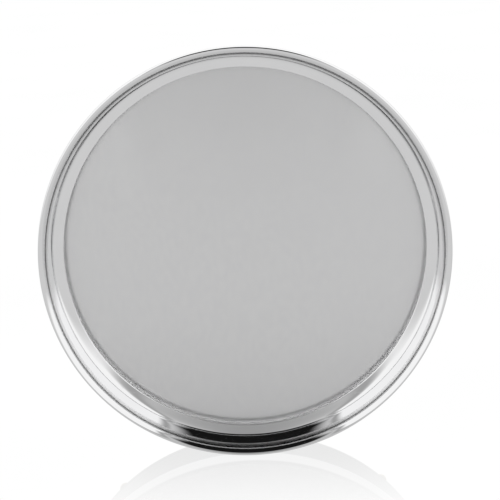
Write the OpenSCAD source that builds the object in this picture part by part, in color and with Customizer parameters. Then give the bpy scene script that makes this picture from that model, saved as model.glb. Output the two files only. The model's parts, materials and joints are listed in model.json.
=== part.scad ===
// Round coin display frame. A spun metal bezel, rolled over a wire at its outer edge and coved
// inside, holds a glazed pack (seal, glass, spacer, blank insert, foam, back board) in a backing
// ring. Four turn buttons keep the pack in, and a hinged easel strut behind props the frame up.
//
// Part frame: +Z up, the glazed face looks along -Y and leans back. The origin is the middle of
// the underside of the bounding box, on the surface that the frame stands on.
// Disc frame: most pieces are drawn lying flat, X right, Y up the face, Z out of the face, with
// z = 0 at the rim's widest circle, and stand() then tips them up.

/* [Bezel] */
// Outside diameter over the rolled rim
outer_d = 130; // [104:1:160]
// Width of the rolled rim, from its outside to the crease
rim_w = 3.15; // [2.9:0.05:4]
// Height of the rim in front of its widest circle
rim_h = 4; // [3.2:0.1:5]
// Width of the rim's outer rounding
rim_out = 0.6; // [0.4:0.05:0.8]
// Width of the rim's curl behind the widest circle
curl_w = 1.6; // [1.4:0.05:1.8]
// Depth of the rim's curl behind the widest circle
curl_h = 1.2; // [1:0.05:1.4]
// Gap round the wire inside the rim
wire_gap = 0.12; // [0.08:0.01:0.2]
// Thickness of the bezel sheet
sheet_t = 0.9; // [0.75:0.05:1]
// Width of the bezel's face, from the rim's outside to the window
face_w = 6.8; // [6.7:0.1:8.4]
// Depth of the window's edge behind the rim's widest circle
recess_depth = 8.3; // [7:0.1:11]
// Slope of the cove where it ends at the window, in degrees
cove_slope = 10; // [4:1:14]
// Length of the nearly flat part of the cove
cove_run = 3.4; // [2.5:0.1:3.5]
// How far above the window's edge the bezel's wall begins to turn into the cove
cove_rise = 0.9; // [0.75:0.05:2]

/* [Backing ring] */
// Width of the rebate that holds the glazed pack, past the window's edge
rebate_w = 1.2; // [1.1:0.1:1.7]
// Thickness of the ring's wall at the back
ring_wall = 3.2; // [3:0.1:4]
// How much the ring widens from back to front, on the radius
ring_taper = 1.4; // [1.2:0.1:1.7]
// Depth of the ring's front edge behind the rim's widest circle
ring_front = 1.6; // [1.5:0.1:3]

/* [Glazed pack] */
// Gap all round between the pack's discs and the backing ring
pack_gap = 0.3; // [0.15:0.05:0.4]
// How far the seal and the spacer stand back from the window's edge
seal_inset = 0.2; // [0.1:0.05:0.4]
// Thickness of the seal under the glass
seal_t = 0.3; // [0.2:0.05:0.6]
// Thickness of the glass
glass_t = 1.6; // [1.2:0.1:2.4]
// Room for a coin between the glass and the insert
spacer_t = 1.8; // [1.5:0.1:3.4]
// Thickness of the insert card
insert_t = 1.2; // [0.8:0.1:1.8]
// Thickness of the foam disc
foam_t = 1.2; // [0.8:0.1:2]
// Thickness of the back board
board_t = 2; // [1.6:0.1:3]
// Thickness of the velvet on the back board and the strut
velvet_t = 0.4; // [0.3:0.05:0.6]

/* [Turn buttons] */
// Number of turn buttons, which is also how many NODES lists
button_n = 4; // [4:1:4]
// Reach of a turn button from its screw to its far end
button_reach = 8.5; // [7:0.1:11]
// Width of a turn button
button_w = 4.4; // [4:0.1:5]
// Thickness of a turn button
button_t = 0.8; // [0.6:0.1:1.2]
// Diameter of the turn button's screw
screw_d = 1.6; // [1.2:0.05:1.8]
// Depth of the screw in the backing ring
screw_depth = 5; // [3:0.1:6.5]
// Diameter of the screw's head
screw_head_d = 3.2; // [2.9:0.1:3.6]
// Height of the screw's head
screw_head_h = 1.1; // [0.8:0.1:1.6]
// Width of the slot in the screw's head
slot_w = 0.5; // [0.3:0.05:0.8]
// Thickness of the washer under the screw's head
washer_t = 0.4; // [0.3:0.05:0.6]
// Diameter of the washer
washer_d = 3.6; // [3.3:0.1:4]

/* [Stance] */
// How far the frame leans back, in degrees
lean = 5; // [4:0.5:8]
// How far the strut opens from the back, in degrees
open_angle = 17; // [14:0.5:22]

/* [Hinge] */
// Height of the hinge pin above the middle of the disc
pin_up = 19; // [10:0.5:26]
// Distance of the hinge pin behind the back of the frame
pin_off = 3.4; // [3:0.1:4.5]
// Diameter of the hinge pin
pin_d = 1.6; // [1.2:0.05:1.8]
// Diameter of the hinge pin's peened ends
pin_head_d = 2.6; // [2.2:0.1:3.2]
// Length of each peened end
pin_head_h = 0.6; // [0.4:0.1:1]
// Thickness of the bracket's plate and ears
bracket_t = 1; // [0.8:0.05:1.2]
// Width of the bracket's plate
bracket_w = 30; // [28:0.5:36]
// Height of the bracket's plate above and below the pin
bracket_up = 10; // [9:0.5:14]
// Depth of the bracket's plate below the pin
bracket_down = 6.5; // [5.5:0.5:7.5]
// Distance between the bracket's ears
ear_gap = 14; // [12:0.5:16]
// Radius of the rounded end of an ear
ear_r = 2.2; // [1.9:0.1:2.6]
// Diameter of the leaf's barrel
barrel_d = 3.2; // [2.8:0.1:3.8]
// Thickness of the leaf
leaf_t = 1; // [0.8:0.05:1.2]
// Length of the leaf below the pin
leaf_len = 18; // [16.5:0.5:24]
// Diameter of every rivet's shank
rivet_d = 1.8; // [1.4:0.1:2.2]
// Diameter of every rivet's head
rivet_head_d = 3.4; // [3:0.1:4]
// Height of every rivet's head
rivet_head_h = 0.6; // [0.4:0.05:0.7]

/* [Strut] */
// Thickness of the strut board
strut_t = 2; // [1.6:0.1:2.2]
// Width of the strut board at the hinge
strut_top_w = 16; // [14:0.5:18]
// Width of the strut board at the foot
strut_foot_w = 18; // [14:0.5:24]
// Distance from the pin to the top of the strut board
strut_start = 4; // [3.5:0.1:6]
// Height of the rubber shoe on the strut's end
shoe_h = 9; // [7:0.5:14]
// How far the strut board reaches into the shoe
shoe_hold = 4.5; // [3:0.5:7]
// Thickness of the shoe's rubber round the board
shoe_wall = 0.7; // [0.5:0.05:0.9]

/* [Bumper feet] */
// Diameter of each clear bumper foot under the backing ring
foot_d = 5; // [4:0.1:7]
// Distance between the middles of the two feet
foot_span = 24; // [18:0.5:30]
// Depth of the feet behind the rim's widest circle
foot_back = 10.5; // [8:0.5:13]

/* [Clearances] */
// Radial gap of a turning bore round its pin or screw
run_gap = 0.05; // [0.03:0.01:0.08]
// Radial gap of a fixed bore round its shank
fix_gap = 0.02; // [0.01:0.01:0.04]
// Gap between a turning face and the face beside it
face_gap = 0.05; // [0.03:0.01:0.1]

/* [Hidden] */
$fn = 72;

// Bezel: radii and heights of the section, with z = 0 at the rim's widest circle
outer_r = outer_d / 2;
window_r = outer_r - face_w;
crease_r = outer_r - rim_w;
apex_r = outer_r - rim_out;
rim_in = rim_w - rim_out;
wire_d = rim_w - 2 * sheet_t - 2 * wire_gap;
wire_at = [outer_r - sheet_t - wire_gap - wire_d / 2, 0.3];
cove_pts = [[crease_r, 0], [crease_r, -recess_depth + cove_rise],
    [window_r + cove_run, -recess_depth + cove_run * tan(cove_slope)], [window_r, -recess_depth]];

// Backing ring and pack: depths run back from the rim's widest circle
bore_r = window_r + rebate_w;
ring_back_r = bore_r + ring_wall;
ring_front_r = ring_back_r + ring_taper;
seat_end = cove_seat(0.5, 1, 24);
disc_r = bore_r - pack_gap;
seal_z = cove_back(1)[1];
glass_z = seal_z - seal_t;
spacer_z = glass_z - glass_t;
insert_z = spacer_z - spacer_t;
foam_z = insert_z - insert_t;
board_z = foam_z - foam_t;
velvet_z = board_z - board_t;
back_z = velvet_z - velvet_t;

// Turn buttons: each pivots in the middle of the backing ring's wall
pivot_r = bore_r + ring_wall / 2;
button_z = back_z - face_gap;
washer_z = button_z - button_t - face_gap;
head_z = washer_z - washer_t;
slot_depth = screw_head_h / 2;

// Hinge: the heel of the leaf meets the bracket's plate when the strut is fully open
plate_z = back_z - bracket_t;
pin_z = back_z - pin_off;
leaf_w = ear_gap - 2 * face_gap;
leaf_face = 0.2;
heel_len = (pin_off - bracket_t - face_gap - leaf_face * cos(open_angle)) / sin(open_angle);
ear_out = ear_gap / 2 + bracket_t;
rivet_x = (ear_out + bracket_w / 2) / 2;
rivet_up = bracket_up - 3;
rivet_down = bracket_down - 3;
rivet_tail_h = 0.5;
leaf_rivet_y = [-leaf_len + 3, -bracket_down - rivet_head_d / 2 - 1];

// Stance: the rolled edge touches the surface in front, and the strut's shoe behind
strut_lean = open_angle - lean;
disc_up = (outer_r - curl_w) * cos(lean) + norm([curl_w * cos(lean), curl_h * sin(lean)]);
pin_high = disc_up + pin_up * cos(lean) + pin_z * sin(lean);
pin_back = pin_up * sin(lean) - pin_z * cos(lean);
strut_len = pin_high / cos(strut_lean);
strut_front_z = leaf_face + strut_t;
shoe_back_z = leaf_face - velvet_t - shoe_wall;
shoe_front_z = strut_front_z + shoe_wall;
front_y = -apex_r * sin(lean) - norm([rim_out * sin(lean), rim_h * cos(lean)]);
back_y = pin_back + pin_high * tan(strut_lean) - shoe_back_z / cos(strut_lean);
disc_y = -(front_y + back_y) / 2;

// A point at t along the cove, from the crease to the window, and the direction there. The two
// middle points count twice, which keeps the cove's corner tight.
function cove(t) = let (s = 1 - t) pow(s, 5) * cove_pts[0]
    + (5 * pow(s, 4) * t + 10 * pow(s, 3) * pow(t, 2)) * cove_pts[1]
    + (10 * pow(s, 2) * pow(t, 3) + 5 * s * pow(t, 4)) * cove_pts[2] + pow(t, 5) * cove_pts[3];
function cove_dir(t) = let (s = 1 - t) pow(s, 4) * (cove_pts[1] - cove_pts[0])
    + 6 * pow(s * t, 2) * (cove_pts[2] - cove_pts[1]) + pow(t, 4) * (cove_pts[3] - cove_pts[2]);

// The point on the back of the sheet behind cove(t)
function cove_back(t) = let (d = cove_dir(t)) cove(t) + sheet_t * [-d[1], d[0]] / norm(d);

// The t at which the back of the sheet reaches the bore, found by halving
function cove_seat(lo, hi, n) = n == 0 ? lo : let (mid = (lo + hi) / 2)
    cove_back(mid)[0] > bore_r ? cove_seat(mid, hi, n - 1) : cove_seat(lo, mid, n - 1);

// The stretch of the bezel's back that the backing ring sits against
seat_start = ring_front / (5 * (recess_depth - cove_rise));
function seat() = [for (i = [0:18]) cove_back(seat_start + (seat_end - seat_start) * i / 18)];

// Points round a piece of an ellipse with half axes w and h about c, each moved inwards by t
function curve(c, w, h, a0, a1, n, t = 0) = [for (i = [0:n]) let (a = a0 + (a1 - a0) * i / n)
    c + [w * cos(a), h * sin(a)] - t * [abs(h) * cos(a), abs(w) * sin(a)] / norm([h * cos(a), w * sin(a)])];

// Tips the disc frame up and back, and sets it on the surface
module stand() {
    translate([0, disc_y, disc_up]) rotate([90 - lean, 0, 0]) children();
}

// Puts a piece on the open strut: its own origin is the pin, and the strut hangs along -Y
module on_strut() {
    stand() translate([0, pin_up, pin_z]) rotate([open_angle, 0, 0]) children();
}

// A flat ring or disc of the pack, from z downwards
module pack_disc(z, t, r, hole_r = 0) {
    translate([0, 0, z - t]) difference() {
        cylinder(h = t, r = r);
        if (hole_r > 0) translate([0, 0, -1]) cylinder(h = t + 2, r = hole_r);
    }
}

// Where the four holding screws stand, on the diagonals
module at_buttons() {
    for (i = [0:button_n - 1]) at_button(i) children();
}

module at_button(i) {
    rotate([0, 0, 45 + i * 360 / button_n]) translate([pivot_r, 0, 0]) children();
}

// Where the bracket's four rivets stand
module at_bracket_rivets() {
    for (x = [-rivet_x, rivet_x], y = [-rivet_down, rivet_up])
        translate([x, pin_up + y, 0]) children();
}

// A shallow rivet head that stands on z = 0 and points along -Z
module rivet_head() {
    translate([0, 0, -rivet_head_h / 2]) cylinder(h = rivet_head_h / 2, d = rivet_head_d);
    translate([0, 0, -rivet_head_h])
        cylinder(h = rivet_head_h / 2, d1 = rivet_head_d * 0.6, d2 = rivet_head_d);
}

module front_bezel() {
    apex = [apex_r, 0];
    curl = [outer_r - curl_w, 0];
    outside = concat(
        curve(apex, rim_in, rim_h, 180, 90, 12), curve(apex, rim_out, rim_h, 82, 0, 8),
        curve(curl, curl_w, curl_h, -10, -75, 6));
    inside = concat(
        curve(curl, curl_w, curl_h, -75, -10, 4, sheet_t), curve(apex, rim_out, rim_h, 0, 40, 4, sheet_t),
        curve(apex, rim_in, rim_h, 145, 180, 6, sheet_t));
    back = concat(seat(), [cove_back((1 + seat_end) / 2), cove_back(1), [window_r, seal_z]]);
    front = [for (i = [20:-1:1]) cove(i / 20)];
    color("#d4d6d8") stand() rotate_extrude() polygon(concat(outside, inside, back, front));
}

module rim_wire() {
    color("#8c8e90") stand() rotate_extrude() translate(wire_at) circle(d = wire_d, $fn = 24);
}

module backing_ring() {
    color("#2b2c2e") stand() difference() {
        rotate_extrude() polygon(concat(
            [[bore_r, back_z], [ring_back_r, back_z], [ring_front_r, -ring_front]], seat()));
        at_buttons() translate([0, 0, back_z - 1])
            cylinder(h = screw_depth + 1 + fix_gap, d = screw_d + 2 * fix_gap, $fn = 32);
    }
}

// The seal is a wedge that fills the slope behind the window's edge
module glass_seal() {
    inner_r = window_r + seal_inset;
    function front_z(r) = seal_z + max(0, r - cove_back(1)[0]) * tan(cove_slope);
    color("#3a3a3a") stand() rotate_extrude() polygon([[inner_r, glass_z], [disc_r, glass_z],
        [disc_r, front_z(disc_r)], [inner_r, front_z(inner_r)]]);
}

module window_glass() {
    color([0.85, 0.92, 0.95, 0.35]) stand() pack_disc(glass_z, glass_t, disc_r);
}

module spacer_ring() {
    color("#b9babc") stand() pack_disc(spacer_z, spacer_t, disc_r, window_r + seal_inset);
}

module insert_board() {
    color("#c6c7c8") stand() pack_disc(insert_z, insert_t, disc_r);
}

module foam_disc() {
    color("#e8e6df") stand() pack_disc(foam_z, foam_t, disc_r);
}

module back_board() {
    color("#7a5f45") stand() difference() {
        pack_disc(board_z, board_t, disc_r);
        at_bracket_rivets() {
            translate([0, 0, velvet_z - 1])
                cylinder(h = board_t + 2, d = rivet_d + 2 * fix_gap, $fn = 32);
            translate([0, 0, board_z - rivet_tail_h - fix_gap])
                cylinder(h = rivet_tail_h + 1, d = rivet_head_d, $fn = 32);
        }
    }
}

module back_velvet() {
    color("#1c1c20") stand() difference() {
        pack_disc(velvet_z, velvet_t, disc_r);
        at_bracket_rivets() translate([0, 0, back_z - 1])
            cylinder(h = velvet_t + 2, d = rivet_d + 2 * fix_gap, $fn = 32);
    }
}

module turn_button(i) {
    tip = button_reach - button_w / 2;
    color("#b08d4a") stand() at_button(i) translate([0, 0, button_z - button_t]) difference() {
        union() {
            cylinder(h = button_t, d = button_w, $fn = 48);
            translate([-tip, 0, 0]) cylinder(h = button_t, d = button_w, $fn = 48);
            translate([-tip, -button_w / 2, 0]) cube([tip, button_w, button_t]);
        }
        translate([0, 0, -1])
            cylinder(h = button_t + 2, d = screw_d + 2 * run_gap, $fn = 32);
    }
}

module turn_button_washers() {
    color("#b9a36a") stand() at_buttons() translate([0, 0, washer_z - washer_t]) difference() {
        cylinder(h = washer_t, d = washer_d, $fn = 40);
        translate([0, 0, -1]) cylinder(h = washer_t + 2, d = screw_d + 2 * fix_gap, $fn = 32);
    }
}

module turn_button_screws() {
    color("#c9b27c") stand() at_buttons() difference() {
        union() {
            translate([0, 0, head_z]) cylinder(h = back_z - head_z + screw_depth, d = screw_d, $fn = 32);
            translate([0, 0, head_z - screw_head_h])
                cylinder(h = screw_head_h, d1 = screw_head_d * 0.8, d2 = screw_head_d, $fn = 40);
        }
        translate([-screw_head_d, -slot_w / 2, head_z - screw_head_h - 1])
            cube([2 * screw_head_d, slot_w, slot_depth + 1]);
    }
}

module hinge_bracket() {
    ear_down = pin_z - plate_z;
    color("#9a9b9e") stand() translate([0, pin_up, 0]) difference() {
        union() {
            translate([-bracket_w / 2, -bracket_down, plate_z])
                cube([bracket_w, bracket_down + bracket_up, bracket_t]);
            for (s = [-1, 1]) translate([s * (ear_out - bracket_t / 2), 0, pin_z]) {
                rotate([0, 90, 0]) cylinder(h = bracket_t, r = ear_r, center = true, $fn = 48);
                translate([-bracket_t / 2, -ear_r, 0])
                    cube([bracket_t, 2 * ear_r, -ear_down + bracket_t / 2]);
            }
        }
        translate([0, 0, pin_z]) rotate([0, 90, 0])
            cylinder(h = bracket_w, d = pin_d + 2 * fix_gap, center = true, $fn = 32);
        for (x = [-rivet_x, rivet_x], y = [-rivet_down, rivet_up])
            translate([x, y, plate_z - 1])
                cylinder(h = bracket_t + 2, d = rivet_d + 2 * fix_gap, $fn = 32);
    }
}

module bracket_rivets() {
    color("#a8a9ac") stand() at_bracket_rivets() {
        translate([0, 0, plate_z]) cylinder(h = board_z - plate_z, d = rivet_d, $fn = 32);
        translate([0, 0, plate_z]) rivet_head();
        translate([0, 0, board_z - rivet_tail_h])
            cylinder(h = rivet_tail_h, d = rivet_head_d - 2 * fix_gap, $fn = 32);
    }
}

module hinge_pin() {
    color("#6f7073") stand() translate([0, pin_up, pin_z]) rotate([0, 90, 0]) {
        cylinder(h = 2 * ear_out, d = pin_d, center = true, $fn = 32);
        for (s = [-1, 1]) translate([0, 0, s * (ear_out + pin_head_h / 2)])
            cylinder(h = pin_head_h, d = pin_head_d, center = true, $fn = 32);
    }
}

module hinge_leaf() {
    color("#9a9b9e") on_strut() difference() {
        union() {
            rotate([0, 90, 0]) cylinder(h = leaf_w, d = barrel_d, center = true, $fn = 48);
            translate([-leaf_w / 2, -leaf_len, leaf_face - leaf_t])
                cube([leaf_w, leaf_len + heel_len, leaf_t]);
        }
        rotate([0, 90, 0])
            cylinder(h = leaf_w + 2, d = pin_d + 2 * run_gap, center = true, $fn = 32);
        for (y = leaf_rivet_y) translate([0, y, leaf_face - leaf_t - 1])
            cylinder(h = leaf_t + 2, d = rivet_d + 2 * fix_gap, $fn = 32);
    }
}

// The strut board's outline, from the hinge down to the shoe
module strut_outline(y_top, y_end) {
    function half_w(y) = (strut_top_w + (strut_foot_w - strut_top_w) * -y / strut_len) / 2;
    polygon([[-half_w(y_top), y_top], [half_w(y_top), y_top], [half_w(y_end), y_end],
        [-half_w(y_end), y_end]]);
}

module strut_board() {
    color("#33302e") on_strut() difference() {
        translate([0, 0, leaf_face]) linear_extrude(strut_t)
            strut_outline(-strut_start, -strut_len + shoe_h - shoe_hold);
        for (y = leaf_rivet_y) translate([0, y, leaf_face - 1])
            cylinder(h = strut_t + 2, d = rivet_d + 2 * fix_gap, $fn = 32);
    }
}

module strut_velvet() {
    color("#1c1c20") on_strut() translate([0, 0, leaf_face - velvet_t]) linear_extrude(velvet_t)
        strut_outline(-leaf_len - 0.3, -strut_len + shoe_h + 0.1);
}

module leaf_rivets() {
    color("#a8a9ac") on_strut() for (y = leaf_rivet_y) translate([0, y, 0]) {
        translate([0, 0, leaf_face - leaf_t])
            cylinder(h = leaf_t + strut_t, d = rivet_d, $fn = 32);
        translate([0, 0, leaf_face - leaf_t]) rivet_head();
        translate([0, 0, strut_front_z]) rotate([180, 0, 0]) rivet_head();
    }
}

// The shoe runs on past the surface and is cut off level with it
module strut_shoe() {
    width = strut_foot_w + 2 * shoe_wall;
    below = 5;
    color("#26262a") difference() {
        on_strut() difference() {
            translate([-width / 2, -strut_len - below, shoe_back_z])
                cube([width, shoe_h + below, shoe_front_z - shoe_back_z]);
            shoe_slot();
        }
        translate([-outer_r, -outer_r, -4 * below]) cube([outer_d, outer_d, 4 * below]);
    }
}

// The slot in the shoe has the board's own outline
module shoe_slot() {
    translate([0, 0, leaf_face]) linear_extrude(strut_t)
        strut_outline(-strut_len + shoe_h + 1, -strut_len + shoe_h - shoe_hold);
}

// Two clear bumper feet stand between the backing ring and the surface, and stop the disc rolling
module bumper_feet() {
    color([0.9, 0.92, 0.93, 0.6]) difference() {
        for (s = [-1, 1]) translate([s * foot_span / 2, disc_y + foot_y(), 0])
            cylinder(h = disc_up / 2, d = foot_d, $fn = 40);
        stand() rotate_extrude($fn = 360) polygon([[0, back_z - 5], [ring_back_r, back_z - 5],
            [ring_back_r, back_z], [ring_front_r, -ring_front], [0, -ring_front]]);
    }
}

function foot_y() = -ring_front_r * sin(lean) + foot_back * cos(lean);

front_bezel();
rim_wire();
backing_ring();
glass_seal();
window_glass();
spacer_ring();
insert_board();
foam_disc();
back_board();
back_velvet();
turn_button(0);  // turn_button_1
turn_button(1);  // turn_button_2
turn_button(2);  // turn_button_3
turn_button(3);  // turn_button_4
turn_button_washers();
turn_button_screws();
hinge_bracket();
bracket_rivets();
hinge_pin();
hinge_leaf();
strut_board();
strut_velvet();
leaf_rivets();
strut_shoe();
bumper_feet();
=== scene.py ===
import json
import math

import bmesh
import bpy
from mathutils import Matrix, Vector, noise


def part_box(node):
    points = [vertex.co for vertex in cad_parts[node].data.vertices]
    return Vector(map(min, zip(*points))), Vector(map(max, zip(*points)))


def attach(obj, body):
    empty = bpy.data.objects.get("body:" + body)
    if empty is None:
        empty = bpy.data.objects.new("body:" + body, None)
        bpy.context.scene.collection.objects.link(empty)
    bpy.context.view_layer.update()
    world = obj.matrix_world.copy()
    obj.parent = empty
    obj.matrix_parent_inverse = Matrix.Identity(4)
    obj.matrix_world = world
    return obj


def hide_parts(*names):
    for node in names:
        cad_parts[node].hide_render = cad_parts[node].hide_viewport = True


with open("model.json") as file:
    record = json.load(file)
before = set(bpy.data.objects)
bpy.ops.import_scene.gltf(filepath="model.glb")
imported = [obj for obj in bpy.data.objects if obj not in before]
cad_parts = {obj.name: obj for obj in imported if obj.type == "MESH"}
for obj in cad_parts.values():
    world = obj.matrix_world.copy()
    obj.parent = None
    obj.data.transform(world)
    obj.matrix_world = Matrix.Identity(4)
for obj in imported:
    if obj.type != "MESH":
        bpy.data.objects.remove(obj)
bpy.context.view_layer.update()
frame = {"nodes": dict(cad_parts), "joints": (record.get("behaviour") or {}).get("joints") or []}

# ---- Camera ----
# The glazed disc leans back on its strut, and is seen from the front and a little above
# through a long lens. Every place below is worked out from the disc's own axes.

MM = 0.001
WIRE_AHEAD = 0.3 * MM
CAMERA_LENS = 100
CAMERA_SENSOR = 36
CAMERA_AWAY = 437 * MM
CAMERA_UP = math.radians(14.8)
CAMERA_ROLL = math.radians(1.9)
CAMERA_CLIP = 10 * MM
CAMERA_SHIFT = Vector((1.51, 1.29, 0)) * MM


def middle(node):
    low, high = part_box(node)
    return (low + high) / 2


def in_scene(name, data):
    """A new object in the scene, with its data."""
    thing = bpy.data.objects.new(name, data)
    bpy.context.scene.collection.objects.link(thing)
    return thing


joints = {joint["name"]: joint for joint in frame["joints"]}
right = Vector((1, 0, 0))
out_of_face = -Vector(joints["button_turn_1"]["axis"]).normalized()
up_the_face = out_of_face.cross(right)
disc_axes = Matrix((right, up_the_face, out_of_face)).transposed().to_4x4()
disc_centre = middle("rim_wire") - out_of_face * WIRE_AHEAD
disc = Matrix.Translation(disc_centre) @ disc_axes @ Matrix.Scale(MM, 4)

camera = in_scene("camera", bpy.data.cameras.new("camera"))
camera.data.lens = CAMERA_LENS
camera.data.sensor_width = CAMERA_SENSOR
away = Vector((0, -math.cos(CAMERA_UP), math.sin(CAMERA_UP)))
aim = (-away).to_track_quat("-Z", "Y").to_matrix()
camera.location = disc_centre + away * CAMERA_AWAY + aim @ CAMERA_SHIFT
camera.rotation_euler = (aim @ Matrix.Rotation(-CAMERA_ROLL, 3, "Z")).to_euler()
camera.data.clip_start = CAMERA_CLIP
bpy.context.scene.camera = camera

# ---- Table and studio ----
# A pale polished table in a white studio: soft boxes on both sides above, a dark gap between
# them overhead, and a grey room in front. The polished bezel shows all of them.

bpy.context.scene.view_settings.view_transform = "Standard"
TABLE_HALF = 30
SOFT_LIGHT = 1.8
BOX_LIGHT = 0.95
BOX_NEAR, BOX_SPREAD, BOX_FLARE, BOX_FAR = 0.11, 0.1, 0.42, 0.46
ROOM_GREY = 0.58
ROOM_AHEAD, AHEAD_HALF = 0.32, 0.22
ROOM_EDGE, EDGE_SOFT = 0.36, 0.015
GAP_BLACK, GAP_SOFT = 0.008, 0.03
GAP_BEHIND, GAP_FRONT = 0.48, 0.5
WALL_NEAR, WALL_TOP, WALL_SOFT = 0.85, 0.45, 0.02
TABLE_CLOUDS = 9.0
# the table's painted glow as seen in reflections, and the painted shade that darkens it near the
# disc
TABLE_REFLECTED_GLOW = 0.62
TABLE_PAINTED_SHADE_NEAR, TABLE_FADE = 0.82, 0.3
TABLE_GLOSS_NEAR = 0.2
TABLE_GLOSS_FADE = 0.07


def add(tree, kind, inputs=None, **settings):
    """Adds a node, sets its properties, and then sets or links its inputs by name or number."""
    node = tree.nodes.new(kind if "Node" in kind else "ShaderNode" + kind)
    for name, value in settings.items():
        setattr(node, name, value)
    for key, value in (inputs or {}).items():
        if isinstance(value, bpy.types.NodeSocket):
            tree.links.new(value, node.inputs[key])
        else:
            node.inputs[key].default_value = value
    return node


def maths(tree, operation, *values):
    node = add(tree, "Math", dict(enumerate(values)), operation=operation)
    return node.outputs[0]


def times(tree, *values):
    return maths(tree, "MULTIPLY", *values)


def ramp(tree, value, start, end, low=0.0, high=1.0):
    """A smooth step from low at start to high at end."""
    given = {"Value": value, "From Min": start, "From Max": end, "To Min": low, "To Max": high}
    return add(tree, "MapRange", given, interpolation_type="SMOOTHSTEP").outputs[0]


def mixed(tree, share, first, second):
    node = add(tree, "Mix", {0: share, 2: first, 3: second}, data_type="FLOAT")
    return node.outputs[0]


def object_place(tree):
    return add(tree, "TexCoord").outputs["Object"]


def noise_of(tree, place, scale, detail=3.0):
    given = {"Vector": place, "Scale": scale, "Detail": detail}
    return add(tree, "TexNoise", given).outputs[0]


def light_the_studio(tree):
    tree.nodes.clear()
    toward = add(tree, "SeparateXYZ",
                 {0: add(tree, "TexCoord").outputs["Generated"]}).outputs
    depth, high = toward[1], toward[2]
    side = maths(tree, "ABSOLUTE", toward[0])
    front = ramp(tree, depth, 0.15, -0.05)
    # the room in front is grey, darker straight ahead, with a dark edge beside each soft box
    ahead = times(tree, ramp(tree, side, AHEAD_HALF, 0.0), ramp(tree, high, 0.05, 0.13))
    level = mixed(tree, times(tree, ahead, front), ROOM_GREY, ROOM_AHEAD)
    # the soft boxes' inner edges stand further apart higher up
    inner = maths(tree, "MULTIPLY_ADD", high, BOX_FLARE, BOX_SPREAD)
    inner = maths(tree, "MINIMUM", maths(tree, "MULTIPLY_ADD", high, inner, BOX_NEAR), BOX_FAR)
    inside = maths(tree, "SUBTRACT", side, inner)
    edge = times(tree, ramp(tree, inside, -EDGE_SOFT, EDGE_SOFT), ramp(tree, high, 0.04, 0.08))
    level = mixed(tree, times(tree, edge, front), level, ROOM_EDGE)
    boxes = times(tree, ramp(tree, inside, 0.02, 0.07), ramp(tree, high, -0.03, 0.09))
    level = mixed(tree, boxes, level, BOX_LIGHT)
    # the dark gap between them overhead, which comes further down at the back
    above = maths(tree, "SUBTRACT", high, mixed(tree, front, GAP_BEHIND, GAP_FRONT))
    over = ramp(tree, above, -GAP_SOFT, GAP_SOFT)
    gap = times(tree, ramp(tree, inside, 0.0, -0.12), over)
    level = mixed(tree, gap, level, GAP_BLACK)
    # the white back wall, which the table mirrors
    wall = times(tree, ramp(tree, depth, WALL_NEAR - WALL_SOFT, WALL_NEAR + WALL_SOFT),
                 ramp(tree, high, WALL_TOP + WALL_SOFT, WALL_TOP - WALL_SOFT))
    level = mixed(tree, wall, level, 1.0)
    path = add(tree, "LightPath").outputs
    level = mixed(tree, maths(tree, "GREATER_THAN", path["Diffuse Depth"], 0.5), level, SOFT_LIGHT)
    level = mixed(tree, path["Is Camera Ray"], level, 1.0)
    shine = add(tree, "Background", {"Color": level})
    add(tree, "OutputWorld", {"Surface": shine.outputs[0]})


def polished_table():
    material = bpy.data.materials.new("polished_table")
    material.use_nodes = True
    tree = material.node_tree
    tree.nodes.clear()
    place = object_place(tree)
    apart = add(tree, "SeparateXYZ", {0: place}).outputs
    path = add(tree, "LightPath").outputs
    cloud = noise_of(tree, place, TABLE_CLOUDS)
    # To the camera the table is plain white. Seen in reflections it glows at a painted level, with
    # painted shade that darkens it close to the disc
    close = maths(tree, "ABSOLUTE", maths(tree, "SUBTRACT", apart[1], disc_centre.y))
    reflected_glow_painted_shade = times(tree, ramp(tree, close, 0.0, TABLE_FADE, TABLE_PAINTED_SHADE_NEAR, 1.0), TABLE_REFLECTED_GLOW)
    glow = maths(tree, "MAXIMUM", path["Is Camera Ray"], path["Is Glossy Ray"])
    seen = mixed(tree, path["Is Camera Ray"], reflected_glow_painted_shade, 1.0)
    seen = times(tree, seen, ramp(tree, cloud, 0, 1, 0.99, 1.015))
    lit = add(tree, "BsdfDiffuse", {"Color": (0.5, 0.5, 0.5, 1)})
    white = add(tree, "Emission", {"Color": seen})
    pale = add(tree, "MixShader", {0: glow, 1: lit.outputs[0], 2: white.outputs[0]})
    gloss = add(tree, "BsdfGlossy", {"Color": (1, 1, 1, 1), "Roughness": 0.02})
    near = maths(tree, "SUBTRACT", disc_centre.y, apart[1])
    share = ramp(tree, near, 0.0, TABLE_GLOSS_FADE, TABLE_GLOSS_NEAR, 0.0)
    share = times(tree, share, path["Is Camera Ray"])
    both = add(tree, "MixShader", {0: share, 1: pale.outputs[0], 2: gloss.outputs[0]})
    add(tree, "OutputMaterial", {"Surface": both.outputs[0]})
    return material


world = bpy.data.worlds.new("studio")
world.use_nodes = True
light_the_studio(world.node_tree)
world.cycles.sampling_method = "NONE"
bpy.context.scene.world = world

table = in_scene("table", bpy.data.meshes.new("table"))
corners = [(x * TABLE_HALF, y * TABLE_HALF, 0) for x, y in ((-1, -1), (1, -1), (1, 1), (-1, 1))]
table.data.from_pydata(corners, [], [(0, 1, 2, 3)])
table.data.materials.append(polished_table())

# ---- Bezel ----
# One ring of polished metal sheet, spun over a former: the edge is rolled back over a wire,
# and the inner wall sweeps down in a cove to the window. It is pressed onto the backing ring.

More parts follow.
